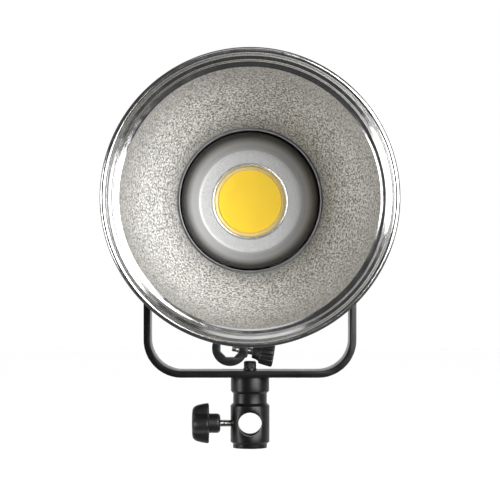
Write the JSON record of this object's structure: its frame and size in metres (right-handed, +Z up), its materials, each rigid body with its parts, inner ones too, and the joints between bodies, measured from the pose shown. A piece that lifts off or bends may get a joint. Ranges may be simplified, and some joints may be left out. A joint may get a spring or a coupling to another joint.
{
  "type": "studio light head",
  "caption": "Studio LED light head with a stippled bowl reflector, on a tilting yoke with a stand socket.",
  "frame": {"origin": "centre of the stand socket's mouth, on the socket's vertical axis", "axes": "+Z up along the socket's axis; the light shines towards -Y at rest; +X to the right seen from the front, the side of the tilt lever"},
  "size_m": [0.1836, 0.2765, 0.2603],
  "materials": {
    "black_anodised": "satin black anodised",
    "black_paint": "satin black powder coat",
    "black_screw": "blackened steel",
    "bright_steel": "bright zinc plated",
    "brass_tip": "turned",
    "black_knob": "fine textured black",
    "black_plastic": "semi-gloss black",
    "grey_plastic": "matte",
    "hammered_silver": "stippled bowl with a polished rim",
    "silver_paint": "satin silver",
    "bare_aluminium": "machined",
    "phosphor": "smooth yellow",
    "dam_silicone": "glossy yellow",
    "white_ceramic": "matte",
    "friction_fibre": "fibre",
    "circuit_green": "solder mask",
    "window_glass": "smoked window",
    "spring_steel": "spring steel"
  },
  "bodies": {
    "yoke": {"stand_adapter": "black_anodised", "yoke_bracket": "black_paint", "adapter_lock_washer": "black_screw", "adapter_screw": "black_screw"},
    "head": {"pivot_bosses": "black_anodised", "pivot_nuts": "bright_steel", "friction_washers": "friction_fibre", "pivot_washers": "black_screw", "pivot_bolt": "black_screw", "lever_stud": "bright_steel", "front_plate": "black_paint", "mount_ring": "bright_steel", "mount_ring_screws": "bright_steel", "mount_springs": "spring_steel", "lower_housing": "black_paint", "upper_housing": "black_paint", "seam_strips": "bare_aluminium", "seam_screws": "black_screw", "tie_rods": "bare_aluminium", "front_screws": "black_screw", "rear_screws": "black_screw", "heat_sink": "bare_aluminium", "led_substrate": "white_ceramic", "led_phosphor": "phosphor", "led_dam": "dam_silicone", "led_bezel": "silver_paint", "lamp_cup": "silver_paint", "cup_floor": "silver_paint", "umbrella_holder": "black_paint", "umbrella_screws": "black_screw", "fan_frame": "black_plastic", "fan_screws": "bright_steel", "driver_board": "circuit_green", "driver_components": "grey_plastic", "control_board": "circuit_green", "display_module": "grey_plastic", "display_window": "window_glass", "dial_encoder": "bright_steel", "rocker_frame": "black_plastic", "mains_inlet": "black_plastic", "inlet_pins": "bright_steel", "inlet_screws": "black_screw", "rear_panel": "black_knob"},
    "clamp_pad": {"clamp_pad": "brass_tip"},
    "clamp_knob": {"clamp_screw": "bright_steel", "clamp_knob": "black_knob"},
    "tilt_lever": {"tilt_lever": "black_knob"},
    "reflector": {"reflector_shell": "hammered_silver", "rim_wire": "spring_steel", "reflector_collar": "bare_aluminium"},
    "umbrella_pad": {"umbrella_pad": "bright_steel"},
    "umbrella_knob": {"umbrella_screw": "bright_steel", "umbrella_knob": "black_knob"},
    "fan_rotor": {"fan_rotor": "black_plastic"},
    "dial": {"dial_knob": "black_knob"},
    "button_1": {"button_1": "grey_plastic"},
    "button_2": {"button_2": "grey_plastic"},
    "button_3": {"button_3": "grey_plastic"},
    "power_rocker": {"rocker_switch": "black_plastic"}
  },
  "joints": [
    {"name": "head_tilt", "type": "hinge", "parent": "yoke", "child": "head", "pos_m": [0, 0, 0.1685], "axis": [-1, 0, 0], "range_deg": [-45, 90]},
    {"name": "tilt_lever_turn", "type": "hinge", "parent": "head", "child": "tilt_lever", "pos_m": [0.075, 0, 0.1685], "axis": [1, 0, 0], "range_deg": [0, 90]},
    {"name": "clamp_pad_advance", "type": "slide", "parent": "yoke", "child": "clamp_pad", "axis": [1, 0, 0], "range_m": [-0.0032, 0.0064]},
    {"name": "clamp_knob_turn", "type": "hinge", "parent": "clamp_pad", "child": "clamp_knob", "pos_m": [-0.02, 0, 0.0168], "axis": [1, 0, 0], "range_deg": [-1441, 2881]},
    {"name": "reflector_twist", "type": "hinge", "parent": "head", "child": "reflector", "pos_m": [0, -0.074, 0.1685], "axis": [0, -1, 0], "range_deg": [0, 25]},
    {"name": "umbrella_pad_advance", "type": "slide", "parent": "head", "child": "umbrella_pad", "axis": [-0.9863, 0, 0.165], "range_m": [-0.004, 0.0008]},
    {"name": "umbrella_knob_turn", "type": "hinge", "parent": "umbrella_pad", "child": "umbrella_knob", "pos_m": [-0.0137, -0.008, 0.0692], "axis": [-0.9863, 0, 0.165], "range_deg": [-1801, 361]},
    {"name": "fan_spin", "type": "hinge", "parent": "head", "child": "fan_rotor", "pos_m": [0, 0.02, 0.1685], "axis": [0, 1, 0], "continuous": true},
    {"name": "dial_turn", "type": "hinge", "parent": "head", "child": "dial", "pos_m": [0.036, 0.095, 0.1885], "axis": [0, 1, 0], "continuous": true},
    {"name": "power_rocker_tip", "type": "hinge", "parent": "head", "child": "power_rocker", "pos_m": [0.032, 0.089, 0.1365], "axis": [0, 0, 1], "range_deg": [0, 14]},
    {"name": "button_1_press", "type": "slide", "parent": "head", "child": "button_1", "axis": [0, -1, 0], "range_m": [0, 0.0012], "stiffness_N_per_m": 500, "springref_m": -0.0008},
    {"name": "button_2_press", "type": "slide", "parent": "head", "child": "button_2", "axis": [0, -1, 0], "range_m": [0, 0.0012], "stiffness_N_per_m": 500, "springref_m": -0.0008},
    {"name": "button_3_press", "type": "slide", "parent": "head", "child": "button_3", "axis": [0, -1, 0], "range_m": [0, 0.0012], "stiffness_N_per_m": 500, "springref_m": -0.0008}
  ],
  "couplings": [
    {"joint": "clamp_knob_turn", "follows": "clamp_pad_advance", "rad_per_m": 7854},
    {"joint": "umbrella_knob_turn", "follows": "umbrella_pad_advance", "rad_per_m": 7854}
  ]
}
